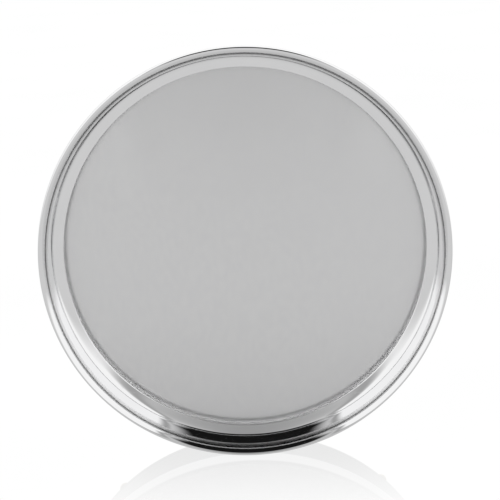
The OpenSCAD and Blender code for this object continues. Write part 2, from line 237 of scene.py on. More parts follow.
RIM_R, RIM_W, RIM_H, RIM_OUT = 65.0, 3.15, 4.0, 0.6
CURL_W, CURL_H = 1.6, 1.2
SHEET = 0.9
WINDOW_R = RIM_R - 6.8
RECESS = 8.3
COVE_SLOPE = math.radians(10)
COVE_RUN, COVE_RISE = 3.4, 0.9
HEM_END = -75
CREASE, LIP_EASE = 0.1, 0.1
RING_FRONT = 1.6
COVE_STEPS = 52
RING_STEPS = 480

APEX = (RIM_R - RIM_OUT, 0)
CURL = (RIM_R - CURL_W, 0)
COVE = [Vector((RIM_R - RIM_W, 0)), Vector((RIM_R - RIM_W, COVE_RISE - RECESS)),
        Vector((WINDOW_R + COVE_RUN, COVE_RUN * math.tan(COVE_SLOPE) - RECESS)),
        Vector((WINDOW_R, -RECESS))]


def cove(t):
    """A point on the cove's face, t going from the crease (0) to the window (1)."""
    s = 1 - t
    return (s**5 * COVE[0] + (5 * s**4 * t + 10 * s**3 * t**2) * COVE[1]
            + (10 * s**2 * t**3 + 5 * s * t**4) * COVE[2] + t**5 * COVE[3])


def cove_back(t):
    """The point on the back of the sheet behind cove(t)."""
    s = 1 - t
    along = (s**4 * (COVE[1] - COVE[0]) + 6 * (s * t)**2 * (COVE[2] - COVE[1])
             + t**4 * (COVE[3] - COVE[2]))
    return cove(t) + Vector((-along.y, along.x)).normalized() * SHEET


def sweep(start, end, steps):
    return [start + (end - start) * i / steps for i in range(steps + 1)]


def oval(centre, width, height, start, end, steps, inward=0.0):
    """Points on an ellipse between two angles in degrees, each moved inward along its normal."""
    points = []
    for angle in sweep(math.radians(start), math.radians(end), steps):
        across, up = math.cos(angle), math.sin(angle)
        normal = Vector((height * across, width * up)).normalized()
        points.append(Vector(centre) + Vector((width * across, height * up)) - normal * inward)
    return points


def eased_corner(before, corner, after, size, steps=4):
    """Replaces a corner of a section with a small round of the given size."""
    before, corner, after = Vector(before), Vector(corner), Vector(after)
    first = corner + (before - corner).normalized() * size
    last = corner + (after - corner).normalized() * size
    return [(1 - t)**2 * first + 2 * t * (1 - t) * corner + t * t * last
            for t in sweep(0, 1, steps)]


def new_tree(kind, name, inputs, outputs):
    """A node group with named inputs (name, kind of socket, value) and outputs (name, kind)."""
    tree = bpy.data.node_groups.new(name, kind)
    for label, socket_kind, value in inputs:
        socket = tree.interface.new_socket(name=label, socket_type="NodeSocket" + socket_kind)
        if value is not None:
            socket.default_value = value
    for label, socket_kind in outputs:
        tree.interface.new_socket(name=label, in_out="OUTPUT",
                                  socket_type="NodeSocket" + socket_kind)
    return tree, add(tree, "NodeGroupInput").outputs


def painted(tree, last, finish):
    """Ends a geometry tree: its last node's geometry made real, in its finish."""
    real = add(tree, "GeometryNodeRealizeInstances", {0: last.outputs[0]})
    done = add(tree, "GeometryNodeSetMaterial", {"Geometry": real.outputs[0], "Material": finish})
    add(tree, "NodeGroupOutput", {0: done.outputs[0]})
    return tree


def spinning_tree():
    """Sweeps a section, drawn as (radius, height), once round the disc's axis."""
    tree, given = new_tree("GeometryNodeTree", "spun_section", [
        ("Section", "Geometry", None), ("Radius", "Float", 60.0),
        ("Steps", "Int", 64), ("Finish", "Material", None)],
        [("Ring", "Geometry")])
    path = add(tree, "GeometryNodeCurvePrimitiveCircle",
               {"Resolution": given["Steps"], "Radius": given["Radius"]})
    path = add(tree, "GeometryNodeSetCurveNormal", {"Curve": path.outputs[0]}, mode="Z_UP")
    inwards = add(tree, "CombineXYZ", {0: times(tree, given["Radius"], -1.0)})
    section = add(tree, "GeometryNodeTransform", {"Geometry": given["Section"],
                  "Translation": inwards.outputs[0], "Scale": (1, -1, 1)})
    section = add(tree, "GeometryNodeMeshToCurve", {"Mesh": section.outputs[0]})
    ring = add(tree, "GeometryNodeCurveToMesh",
               {"Curve": path.outputs[0], "Profile Curve": section.outputs[0]})
    return painted(tree, ring, given["Finish"])


def plain(piece):
    """Turns the piece with its modifiers into a plain mesh."""
    bpy.context.view_layer.update()
    evaluated = piece.evaluated_get(bpy.context.evaluated_depsgraph_get())
    piece.data = bpy.data.meshes.new_from_object(evaluated)
    piece.modifiers.clear()
    return piece


def made_by(tree, name, points, edges, inputs):
    """Runs a geometry tree on some points and edges, and keeps the result as a plain mesh object."""
    base = bpy.data.meshes.new(name)
    base.from_pydata(points, edges, [])
    piece = in_scene(name, base)
    modifier = piece.modifiers.new("make", "NODES")
    modifier.node_group = tree
    for item in tree.interface.items_tree:
        if item.in_out == "INPUT" and item.name in inputs:
            modifier[item.identifier] = inputs[item.name]
    return plain(piece)


def settle(piece, place, sharp=40):
    """Closes the piece's seams, turns its faces outward, and puts it where it belongs."""
    mesh = bmesh.new()
    mesh.from_mesh(piece.data)
    bmesh.ops.remove_doubles(mesh, verts=mesh.verts, dist=1e-4)
    bmesh.ops.recalc_face_normals(mesh, faces=mesh.faces)
    mesh.to_mesh(piece.data)
    mesh.free()
    piece.data.transform(place)
    piece.data.shade_smooth()
    piece.data.set_sharp_from_angle(angle=math.radians(sharp))
    return piece


def fix(piece, body, slot, *nodes):
    """The piece rides on its body and stands for its CAD nodes; slot is not used."""
    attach(piece, body)
    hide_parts(*nodes)
    return piece


def spun(name, section, finish, steps=RING_STEPS, place=disc):
    """A ring spun from a closed section of (radius, height) points."""
    count = len(section)
    piece = made_by(spin, name, [(p[0], p[1], 0) for p in section],
                    [(i, (i + 1) % count) for i in range(count)],
                    {"Radius": WINDOW_R, "Steps": steps, "Finish": finish})
    return settle(piece, place)


def disc_place(tree):
    """Object coordinates turned into the disc's own axes, in metres."""
    turned = disc_axes.inverted()
    given = {"Vector": object_place(tree), "Rotation": turned.to_euler(),
             "Location": -(turned @ disc_centre)}
    return add(tree, "Mapping", given).outputs[0]


def scratch_group():
    """Fine wiping scratches in three directions, as a mask."""
    tree, given = new_tree("ShaderNodeTree", "wiping_scratches", [
        ("Vector", "Vector", None), ("Fineness", "Float", 40.0),
        ("Cover", "Float", 0.3)], [("Mask", "Float")])
    total = 0.0
    for turn, stretch in ((0.35, 60), (1.4, 45), (2.45, 70)):
        laid = add(tree, "Mapping", {"Vector": given["Vector"],
                   "Rotation": (0.2, 0.1, turn), "Scale": (1, stretch, stretch)})
        line = noise_of(tree, laid.outputs[0], given["Fineness"], 1.0)
        floor = maths(tree, "SUBTRACT", 0.78, times(tree, given["Cover"], 0.2))
        line = ramp(tree, maths(tree, "SUBTRACT", line, floor), 0.0, 0.05)
        total = maths(tree, "MAXIMUM", total, line)
    add(tree, "NodeGroupOutput", {0: total})
    return tree


def turning_group():
    """Fine rings round the disc's axis, as a height."""
    tree, given = new_tree("ShaderNodeTree", "turning_marks", [
        ("Vector", "Vector", None), ("Rings", "Float", 4000.0)],
        [("Height", "Float")])
    apart = add(tree, "SeparateXYZ", {0: given["Vector"]}).outputs
    flat = add(tree, "CombineXYZ", {0: apart[0], 1: apart[1]})
    radius = add(tree, "VectorMath", {0: flat.outputs[0]}, operation="LENGTH")
    ring = add(tree, "CombineXYZ", {0: radius.outputs["Value"], 1: apart[2]})
    add(tree, "NodeGroupOutput", {0: noise_of(tree, ring.outputs[0], given["Rings"], 2.0)})
    return tree


def new_finish(name, place_of=object_place):
    """An empty material, its tree, and the place that its patterns are laid on."""
    material = bpy.data.materials.new(name)
    material.use_nodes = True
    material.node_tree.nodes.clear()
    return material, material.node_tree, place_of(material.node_tree)


def effect(tree, group, **inputs):
    return add(tree, "Group", inputs, node_tree=group).outputs


def bump(tree, height, strength, distance):
    return add(tree, "Bump",
               {"Strength": strength, "Distance": distance, "Height": height}).outputs[0]


def shade(tree, **inputs):
    """The material's own shader, with its sockets given by name (spaces as _)."""
    given = {name.replace("_", " "): value for name, value in inputs.items()}
    shader = add(tree, "BsdfPrincipled", given)
    add(tree, "OutputMaterial", {"Surface": shader.outputs[0]})


def tint(tree, share, first, second):
    """A colour between two, by a share that changes over the surface."""
    return add(tree, "Mix", {0: share, 6: (*first, 1), 7: (*second, 1)},
               data_type="RGBA").outputs[2]


def polished_steel():
    material, tree, place = new_finish("polished_steel", disc_place)
    marks = effect(tree, turning, Vector=place, Rings=5200.0)["Height"]
    wiped = effect(tree, scratches, Vector=place, Fineness=55.0, Cover=0.25)["Mask"]
    smudge = noise_of(tree, place, 70.0, 4.0)
    film = ramp(tree, smudge, 0.45, 0.75, 0.02, 0.05)
    rough = maths(tree, "ADD", film, times(tree, wiped, 0.1))
    share = ramp(tree, smudge, 0.3, 0.8)
    shade(tree, Metallic=1.0, Roughness=rough,
          Base_Color=tint(tree, share, (0.955, 0.955, 0.96), (0.935, 0.935, 0.94)),
          Normal=bump(tree, marks, 0.03, 0.00002))
    return material


spin = spinning_tree()
scratches = scratch_group()
turning = turning_group()

hem = oval(CURL, CURL_W, CURL_H, HEM_END, HEM_END, 1)[0]
hem_inside = oval(CURL, CURL_W, CURL_H, HEM_END, HEM_END, 1, SHEET)[0]
hem_round = oval((hem + hem_inside) / 2, SHEET / 2, SHEET / 2, HEM_END, HEM_END - 180, 10)[1:-1]
seat_start = RING_FRONT / (5 * (RECESS - COVE_RISE))
seal_z = cove_back(1).y
crease = oval(COVE[0], CREASE, CREASE, -90, 90, 8)
lip = (WINDOW_R, seal_z)
bezel_section = (
    oval(APEX, RIM_W - RIM_OUT, RIM_H, 178, 90, 34)
    + oval(APEX, RIM_OUT, RIM_H, 86, 0, 24)
    + oval(CURL, CURL_W, CURL_H, -6, HEM_END, 14) + hem_round
    + oval(CURL, CURL_W, CURL_H, HEM_END, -6, 8, SHEET)
    + oval(APEX, RIM_OUT, RIM_H, 0, 40, 5, SHEET)
    + oval(APEX, RIM_W - RIM_OUT, RIM_H, 145, 180, 8, SHEET)
    + [cove_back(t) for t in sweep(seat_start, 1, 40)]
    + eased_corner(cove_back(1), lip, COVE[3], LIP_EASE)
    + eased_corner(lip, COVE[3], cove(0.9), LIP_EASE * 0.8)
    + [cove(t) for t in sweep(0.985, 0.02, COVE_STEPS)] + crease)
bezel = spun("bezel", bezel_section, polished_steel())
fix(bezel, "frame", "polished_steel", "front_bezel")

# ---- Edge wire ----
# A drawn steel wire lies inside the rolled edge and keeps it round. Only a line of it shows
# from behind, in the slit under the hem.


def stretched(tree, place, *scales):
    """A place with each of its axes scaled by its own number."""
    scale = add(tree, "CombineXYZ", dict(enumerate(scales))).outputs[0]
    return add(tree, "VectorMath", {0: place, 1: scale}, operation="MULTIPLY").outputs[0]


def draw_lines_group():
    """Long fine lines along a drawn or brushed surface, as a value."""
    tree, given = new_tree("ShaderNodeTree", "draw_lines", [
        ("Vector", "Vector", None), ("Along", "Float", 20.0),
        ("Across", "Float", 900.0)], [("Line", "Float")])
    laid = stretched(tree, given["Vector"], given["Along"], given["Across"], given["Across"])
    add(tree, "NodeGroupOutput", {0: noise_of(tree, laid, 1.0)})
    return tree


def steel(name, dark, light, rough, along, across):
    """Plain steel: drawn lines, dull patches and a light bump."""
    material, tree, place = new_finish(name)
    line = effect(tree, draw_lines, Vector=place, Along=along, Across=across)["Line"]
    patch = noise_of(tree, place, 260.0, 4.0)
    share = times(tree, ramp(tree, line, 0.35, 0.65), ramp(tree, patch, 0.25, 0.7, 0.5, 1.0))
    shade(tree, Metallic=1.0, Base_Color=tint(tree, share, dark, light),
          Roughness=ramp(tree, patch, 0.3, 0.75, rough, rough + 0.16),
          Normal=bump(tree, line, 0.12, 0.00003))
    return material


def finish_node(node, material):
    """A CAD node keeps its shape and gets its finish."""
    mesh = frame["nodes"][node].data
    mesh.materials.clear()
    mesh.materials.append(material)


draw_lines = draw_lines_group()
wire_steel = steel("rim_wire_steel", (0.36, 0.36, 0.37), (0.62, 0.62, 0.63), 0.28, 40.0, 1400.0)
finish_node("rim_wire", wire_steel)

# ---- Backing ring ----
# A turned metal ring, painted satin black, that carries the bezel and holds the glazed pack.
# Its front is shaped to the back of the cove, and two fine grooves are cut round its wall.

GROOVE_DEEP, GROOVE_HALF, GROOVE_FLAT = 0.22, 0.3, 0.35
GROOVES = (0.14, 0.86)
RING_EASE, RING_FRONT_EASE = 0.45, 0.2
SAME_PLACE = 0.01


def points_of(node, place):
    return [place.inverted() @ vertex.co for vertex in frame["nodes"][node].data.vertices]


def measured(node, place):
    """A CAD node's lowest and highest corners in a place's own axes, in millimetres."""
    points = points_of(node, place)
    return (Vector([min(p[i] for p in points) for i in range(3)]),
            Vector([max(p[i] for p in points) for i in range(3)]))


def radii(node, at_height=None):
    """The least and the greatest distance of a CAD node from the disc's axis, in millimetres."""
    points = points_of(node, disc)
    if at_height is not None:
        points = [p for p in points if abs(p.z - at_height) < SAME_PLACE]
    reach = [math.hypot(p.x, p.y) for p in points]
    return min(reach), max(reach)


def edge_wear_group():
    """Where a corner is rubbed, broken up by a coarse noise, as a mask."""
    tree, given = new_tree("ShaderNodeTree", "edge_wear", [
        ("Vector", "Vector", None), ("Width", "Float", 0.0003),
        ("Breaks", "Float", 300.0)], [("Mask", "Float")])
    rounded = add(tree, "Bevel", {"Radius": given["Width"]}, samples=4)
    flat = add(tree, "NewGeometry").outputs["Normal"]
    same = add(tree, "VectorMath", {0: rounded.outputs[0], 1: flat}, operation="DOT_PRODUCT")
    corner = ramp(tree, same.outputs["Value"], 0.995, 0.93)
    broken = ramp(tree, noise_of(tree, given["Vector"], given["Breaks"], 4.0), 0.42, 0.62)
    add(tree, "NodeGroupOutput", {0: times(tree, corner, broken)})
    return tree


def ring_paint():
    material, tree, place = new_finish("ring_paint", disc_place)
    peel = noise_of(tree, place, 1400.0, 2.0)
    dull = noise_of(tree, place, 45.0, 4.0)
    worn = effect(tree, edge_wear, Vector=place, Width=0.0003, Breaks=900.0)["Mask"]
    worn = times(tree, worn, ramp(tree, dull, 0.45, 0.7, 0.0, 0.5))
    wiped = effect(tree, scratches, Vector=place, Fineness=45.0, Cover=0.35)["Mask"]
    bare = maths(tree, "MAXIMUM", worn, times(tree, wiped, 0.12))
    shade(tree, Base_Color=tint(tree, bare, (0.018, 0.018, 0.02), (0.3, 0.3, 0.31)),
          Metallic=worn, Roughness=ramp(tree, dull, 0.3, 0.7, 0.3, 0.46), Specular_IOR_Level=0.5,
          Normal=bump(tree, peel, 0.18, 0.00004))
    return material


edge_wear = edge_wear_group()
ring_low = measured("backing_ring", disc)[0]
bore_r = radii("backing_ring")[0]
ring_back = Vector((radii("backing_ring", ring_low.z)[1], ring_low.z))
ring_front = Vector((radii("backing_ring")[1], -RING_FRONT))
ring_bore = Vector((bore_r, ring_low.z))
wall = ring_front - ring_back
inward = Vector((-wall.y, wall.x)).normalized() * GROOVE_DEEP
if inward.x > 0:
    inward.negate()
grooves = []
for share in GROOVES:
    foot = ring_back + wall * share
    step = wall.normalized() * GROOVE_HALF
    grooves += [foot - step, foot - step * GROOVE_FLAT + inward,
                foot + step * GROOVE_FLAT + inward, foot + step]
seat = [p for p in (cove_back(t) for t in sweep(seat_start, 1, 60)) if p.x > bore_r]
ring_section = (
    eased_corner((bore_r, 0), ring_bore, ring_back, RING_EASE)
    + eased_corner(ring_bore, ring_back, ring_front, RING_EASE) + grooves
    + eased_corner(ring_back, ring_front, seat[0], RING_FRONT_EASE)
    + seat + [(bore_r, seat[-1].y)])
backing = spun("backing_ring_painted", ring_section, ring_paint())
fix(backing, "frame", "ring_paint", "backing_ring")

# ---- Window seal ----
# A thin black gasket, cut to a wedge, takes up the slope behind the window's edge and keeps
# dust off the glass. It is squeezed between the bezel and the glass.


def gasket():
    material, tree, place = new_finish("seal_gasket")
    fleck = noise_of(tree, place, 900.0)
    share = ramp(tree, fleck, 0.35, 0.7)
    shade(tree, Base_Color=tint(tree, share, (0.07, 0.07, 0.072), (0.14, 0.14, 0.145)),
          Roughness=ramp(tree, fleck, 0.3, 0.7, 0.55, 0.75), Normal=bump(tree, fleck, 0.3, 0.00005))
    return material


finish_node("glass_seal", gasket())

# ---- Window glass ----
# A disc of clear float glass, cut round, with both edges taken off by a fine arris. It lies
# against the seal, and a few dust specks lie on it.

ARRIS = 0.15
DISC_STEPS = 256


def cut_disc(name, node, finish, ease):
    """A round sheet with eased edges, in a CAD disc's place."""
    low, high = measured(node, disc)
    reach = radii(node)[1]
    back, front, back_edge, front_edge = [(r, z) for r in (0, reach) for z in (low.z, high.z)]
    section = ([back] + eased_corner(back, back_edge, front_edge, ease)
               + eased_corner(back_edge, front_edge, front, ease) + [front])
    return spun(name, section, finish, DISC_STEPS)


def float_glass():
    material, tree, place = new_finish("window_glass", disc_place)
    speck = add(tree, "TexVoronoi", {"Vector": place, "Scale": 260.0}).outputs["Distance"]
    film = noise_of(tree, place, 30.0)
    rough = maths(tree, "ADD", ramp(tree, film, 0.45, 0.8, 0.0, 0.02),
                  ramp(tree, speck, 0.035, 0.02, 0.0, 0.25))
    shade(tree, Base_Color=(0.99, 0.99, 0.99, 1), Transmission_Weight=1.0, IOR=1.5,
          Roughness=rough)
    return material


glass = cut_disc("window_glass_disc", "window_glass", float_glass(), ARRIS)
fix(glass, "frame", "window_glass", "window_glass")

# ---- Spacer ----
# A ring of smooth pale card holds the insert off the glass and leaves room for a thin coin.
# It is die cut and simply laid in.

FIBRE_SWAY = 0.012
SPACER_EASE = 0.08

def fibre_group():
    """Fibres and flecks of board and card, as a value and a height."""
    tree, given = new_tree("ShaderNodeTree", "board_fibres", [
        ("Vector", "Vector", None), ("Fibres", "Float", 500.0),
        ("Stretch", "Float", 6.0)],
        [("Fleck", "Float"), ("Height", "Float")])
    swirl = add(tree, "TexNoise", {"Vector": given["Vector"], "Scale": 60.0, "Detail": 2.0})
    bent = add(tree, "VectorMath", {0: swirl.outputs["Color"], 1: [FIBRE_SWAY] * 3,
               2: given["Vector"]}, operation="MULTIPLY_ADD")
    count = given["Fibres"]
    along = maths(tree, "DIVIDE", count, given["Stretch"])
    strand = noise_of(tree, stretched(tree, bent.outputs[0], count, along, count), 1.0, 5.0)
    fine = noise_of(tree, given["Vector"], times(tree, count, 3.0), 2.0)
    height = maths(tree, "ADD", strand, times(tree, fine, 0.4))
    add(tree, "NodeGroupOutput", {0: ramp(tree, strand, 0.35, 0.65), 1: height})
    return tree


def board(name, dark, light, rough, fibres, relief):
    """Card or hardboard: fibres in the colour and in a light relief."""
    material, tree, place = new_finish(name)
    marks = effect(tree, fibre, Vector=place, Fibres=fibres, Stretch=5.0)
    shade(tree, Base_Color=tint(tree, marks["Fleck"], dark, light),
          Roughness=ramp(tree, marks["Fleck"], 0, 1, rough, rough + 0.12),
          Normal=bump(tree, marks["Height"], relief, 0.00005))
    return material


def band(inner, outer, start, end, ease):
    """The section of a flat ring, with every corner rounded by the same size."""
    points = [(inner, start), (outer, start), (outer, end), (inner, end)]
    eased = []
    for i, corner in enumerate(points):
        eased += eased_corner(points[i - 1], corner, points[(i + 1) % 4], ease)
    return eased


fibre = fibre_group()
spacer_low, spacer_high = measured("spacer_ring", disc)
spacer_in, spacer_out = radii("spacer_ring")
spacer_section = band(spacer_in, spacer_out, spacer_low.z, spacer_high.z, SPACER_EASE)
spacer_card = board("spacer_card", (0.78, 0.78, 0.785), (0.84, 0.84, 0.845), 0.5, 420.0, 0.12)
spacer = spun("spacer_card_ring", spacer_section, spacer_card)
fix(spacer, "frame", "spacer_card", "spacer_ring")

# ---- Insert ----
# A blank of stiff card with a satin silver laminate, which the coin or its mount is laid on.
# It fills the window from edge to edge and lies on the foam.

INSERT_EASE = 0.1


def silver_laminate():
    material, tree, place = new_finish("insert_card", disc_place)
    marks = effect(tree, fibre, Vector=place, Fibres=700.0, Stretch=2.0)
    haze = noise_of(tree, place, 14.0)
    share = times(tree, marks["Fleck"], ramp(tree, haze, 0.3, 0.7, 0.5, 1.0))
    shade(tree, Metallic=1.0,
          Base_Color=tint(tree, share, (0.96, 0.96, 0.965), (0.985, 0.985, 0.985)),
          Roughness=ramp(tree, haze, 0.2, 0.8, 0.28, 0.29),
          Normal=bump(tree, marks["Height"], 0.02, 0.00001))
    return material


insert = cut_disc("insert_card_disc", "insert_board", silver_laminate(), INSERT_EASE)
fix(insert, "frame", "insert_card", "insert_board")

# ---- Foam disc ----
# A die-cut disc of white closed-cell foam between the insert and the back board. The turn
# buttons press the board on it, so that its edge bulges a little and nothing rattles.

FOAM_BULGE = 0.12


def cell_foam():
    material, tree, place = new_finish("foam")
    cells = add(tree, "TexVoronoi", {"Vector": place, "Scale": 1600.0}).outputs["Distance"]
    # The tint darkens towards each cell's middle, where the bump sinks into a pit: painted shade in
    # the pits
    share = ramp(tree, cells, 0.1, 0.5)
    shade(tree, Base_Color=tint(tree, share, (0.66, 0.65, 0.6), (0.84, 0.83, 0.79)),
          Roughness=ramp(tree, cells, 0, 0.6, 0.7, 0.9), Normal=bump(tree, cells, 0.6, 0.0002))
    return material


foam_low, foam_high = measured("foam_disc", disc)
foam_edge = radii("foam_disc")[1]
foam_half = (foam_high.z - foam_low.z) / 2
bulge_at = (foam_edge - FOAM_BULGE, foam_low.z + foam_half)
foam_section = ([(0, foam_low.z)] + oval(bulge_at, FOAM_BULGE, foam_half, -90, 90, 12)
                + [(0, foam_high.z)])
foam = spun("foam_pad_disc", foam_section, cell_foam(), DISC_STEPS)
fix(foam, "frame", "foam", "foam_disc")

# ---- Back board ----
# A disc of brown hardboard that closes the ring. Its face is hidden by the velvet, and its cut
# edge shows as a fine brown line inside the ring.

back_hardboard = board("back_hardboard", (0.15, 0.085, 0.045), (0.3, 0.19, 0.11), 0.6, 380.0, 0.35)
finish_node("back_board", back_hardboard)

# ---- Back velvet ----
# Black flocked velvet paper glued over the back board. The pile lies in soft patches where it
# has been stroked, and the sheet's edge is cut clean.

PILE = 0.035
PILE_RINGS = 60
PILE_EDGE = 0.15
FACE_REACH = 0.05
TUFTS = 900


def velvet():
    material, tree, place = new_finish("velvet")
    stroked = noise_of(tree, place, 55.0)
    pile = noise_of(tree, place, 5200.0, 2.0)
    share = times(tree, ramp(tree, stroked, 0.35, 0.65), ramp(tree, pile, 0.3, 0.7, 0.4, 1.0))
    shade(tree, Base_Color=tint(tree, share, (0.006, 0.006, 0.008), (0.026, 0.026, 0.032)),
          Roughness=0.95, Sheen_Weight=0.35, Sheen_Roughness=0.4, Specular_IOR_Level=0.1,
          Normal=bump(tree, pile, 0.9, 0.00025))
    return material


def napped(piece, place, face):
    """Lifts and drops the pile on a velvet face, whose height in a place's own axes is given."""
    for vertex in piece.data.vertices:
        if (place.inverted() @ vertex.co).z < face + FACE_REACH:
            lift = noise.noise(vertex.co * TUFTS) + 0.5 * noise.noise(vertex.co * (3 * TUFTS))
            vertex.co -= out_of_face * (lift * PILE * MM)


velvet_low, velvet_high = measured("back_velvet", disc)
velvet_edge = radii("back_velvet")[1]
face_end, glued_end = (velvet_edge, velvet_low.z), (velvet_edge, velvet_high.z)
velvet_section = ([(velvet_edge * i / PILE_RINGS, velvet_low.z) for i in range(PILE_RINGS)]
                  + eased_corner((0, velvet_low.z), face_end, glued_end, PILE_EDGE)
                  + [glued_end, (0, velvet_high.z)])
back_pile = spun("back_velvet_disc", velvet_section, velvet(), DISC_STEPS)
napped(back_pile, disc, velvet_low.z)
fix(back_pile, "frame", "velvet", "back_velvet")

# ---- Turn buttons ----
# Four stamped brass tongues, each with round ends and a pressed ridge towards its tip. Each
# turns about its own screw in the ring and laps over the back board.

BUTTON_EASE = 0.13
RIDGE_FROM, RIDGE_TO = -6.2, -3.5
RIDGE_RISE = ((0.66, 0), (0.56, 0.05), (0.42, 0.2), (0.3, 0.25), (0.1, 0.27))


def bar_loop(start, end, radius, height, steps=14):
    """The outline of a bar with round ends, between two places on the X axis."""
    return [Vector((at + radius * math.cos(turn + a), radius * math.sin(turn + a), height))
            for at, turn in ((end, 0), (start, math.pi))
            for a in sweep(-math.pi / 2, math.pi / 2, steps)]


def lofted(name, loops, finish, place, sharp=35):
    """A closed shell through a stack of loops that all have the same number of points."""
    count = len(loops[0])
    last = (len(loops) - 1) * count
    faces = [tuple(range(count)), tuple(range(last, last + count))]
    for start in range(0, last, count):
        for i in range(count):
            j = (i + 1) % count
            faces.append((start + i, start + j, start + count + j, start + count + i))
    data = bpy.data.meshes.new(name)
    data.from_pydata([p for loop in loops for p in loop], [], faces)
    data.materials.append(finish)
    return settle(in_scene(name, data), place, sharp)


def brass(name, dark, light, rough):
    """Brass that has dulled to brown in patches and is rubbed bright on its edges."""
    material, tree, place = new_finish(name)
    line = effect(tree, draw_lines, Vector=place, Along=60.0, Across=1500.0)["Line"]
    dulled = ramp(tree, noise_of(tree, place, 330.0, 4.0), 0.38, 0.7)
    bright = effect(tree, edge_wear, Vector=place, Width=0.0002, Breaks=500.0)["Mask"]
    share = maths(tree, "SUBTRACT", 1.0, times(tree, dulled, 0.7))
    share = maths(tree, "MAXIMUM", share, bright)
    shade(tree, Metallic=1.0, Base_Color=tint(tree, share, dark, light),
          Roughness=ramp(tree, share, 0, 1, rough + 0.2, rough),
          Normal=bump(tree, line, 0.1, 0.00003))
    return material


button_brass = brass("button_brass", (0.33, 0.2, 0.08), (0.8, 0.58, 0.27), 0.2)
button_pivots = []
for number in range(1, 5):
    node = f"turn_button_{number}"
    low, high = measured(node, disc)
    pivot = disc.inverted() @ Vector(joints[f"button_turn_{number}"]["pos_m"])
    button_pivots.append(pivot)
    turn = math.atan2(pivot.y, pivot.x)
    place = disc @ Matrix.Translation((pivot.x, pivot.y, high.z)) @ Matrix.Rotation(turn, 4, "Z")
    own_low, own_high = measured(node, place)
    half, tip, top = own_high.y, own_low.x + own_high.y, own_low.z
    outline = [(half * 0.5, 0), (half - BUTTON_EASE, 0)]
    outline += [(half - BUTTON_EASE * (1 - math.sin(a)), -BUTTON_EASE * (1 - math.cos(a)))
                for a in sweep(0.4, math.pi / 2, 3)]
    outline += [(half - BUTTON_EASE * (1 - math.cos(a)), top + BUTTON_EASE * (1 - math.sin(a)))
                for a in sweep(0, math.pi / 2, 4)]
    loops = [bar_loop(tip, 0, radius, height) for radius, height in outline]
    loops += [bar_loop(RIDGE_FROM, RIDGE_TO, half * share, top - rise)
              for share, rise in RIDGE_RISE]
    button = lofted(f"{node}_stamped", loops, button_brass, place)
    fix(button, f"button_{number}", "button_brass", node)

# ---- Button washers and screws ----
# A small brass washer and a slotted cheese-head screw hold each turn button. The screws bite in
# the ring's wall, and their slots stand at the angles that the driver left them at.

WASHER_R, SHANK_R, HEAD_R = 1.8, 0.8, 1.6
WASHER_EASE, HEAD_EASE, UNDER_EASE = 0.09, 0.15, 0.08
SLOT_W = 0.5
SCREW_STEPS = 40
SLOT_SEED = 11


def set_out_tree():
    """Puts one fastener on every point, each turned about its own axis by chance."""
    tree, given = new_tree("GeometryNodeTree", "fasteners_set_out", [
        ("Places", "Geometry", None), ("Fastener", "Object", None),
        ("Most turn", "Float", 0.0), ("Seed", "Int", 0),
        ("Finish", "Material", None)], [("Fasteners", "Geometry")])
    one = add(tree, "GeometryNodeObjectInfo", {"Object": given["Fastener"]})
    most = add(tree, "CombineXYZ", {2: given["Most turn"]})
    turned = add(tree, "FunctionNodeRandomValue", {0: (0.0, 0.0, 0.0), 1: most.outputs[0],
                 "Seed": given["Seed"]}, data_type="FLOAT_VECTOR")
    put = add(tree, "GeometryNodeInstanceOnPoints", {"Points": given["Places"],
              "Instance": one.outputs["Geometry"], "Rotation": turned.outputs[0]})
    return painted(tree, put, given["Finish"])


def fastener(name, section, finish, steps=SCREW_STEPS):
    """One turned fastener about its own Z axis, kept only until it has been set out."""
    return spun(name, section, finish, steps, Matrix())


def slotted(piece, width, deep, top, across):
    """Cuts a straight slot in a screw's head. top is the height of the head's face."""
    bar = bpy.data.meshes.new("slot")
    cutter = bmesh.new()
    size = Matrix.Diagonal((2 * across, width, 2 * deep, 1))
    bmesh.ops.create_cube(cutter, size=1, matrix=Matrix.Translation((0, 0, top)) @ size)
    cutter.to_mesh(bar)
    cutter.free()
    driver_bar = in_scene("slot", bar)
    modifier = piece.modifiers.new("slot", "BOOLEAN")
    modifier.operation, modifier.object, modifier.solver = "DIFFERENCE", driver_bar, "EXACT"
    plain(piece)
    bpy.data.objects.remove(driver_bar)


def set_out(name, one, places, finish, place, most_turn=0.0, seed=0):
    """Copies of one fastener on the given places, as one piece."""
    piece = made_by(fasteners, name, places, [], {"Fastener": one, "Most turn": most_turn,
                    "Seed": seed, "Finish": finish})
    bpy.data.objects.remove(one)
    return settle(piece, place, 35)


fasteners = set_out_tree()
screw_brass = brass("screw_brass", (0.4, 0.27, 0.11), (0.82, 0.65, 0.36), 0.16)
washer_low, washer_high = measured("turn_button_washers", disc)
screw_low, screw_high = measured("turn_button_screws", disc)
washer_section = band(SHANK_R, WASHER_R, 0, (washer_low - washer_high).z, WASHER_EASE)
washer = fastener("washer", washer_section, screw_brass)
washer_places = [(p.x, p.y, washer_high.z) for p in button_pivots]
washers = set_out("button_washers_brass", washer, washer_places, screw_brass, disc)
fix(washers, "frame", "screw_brass", "turn_button_washers")

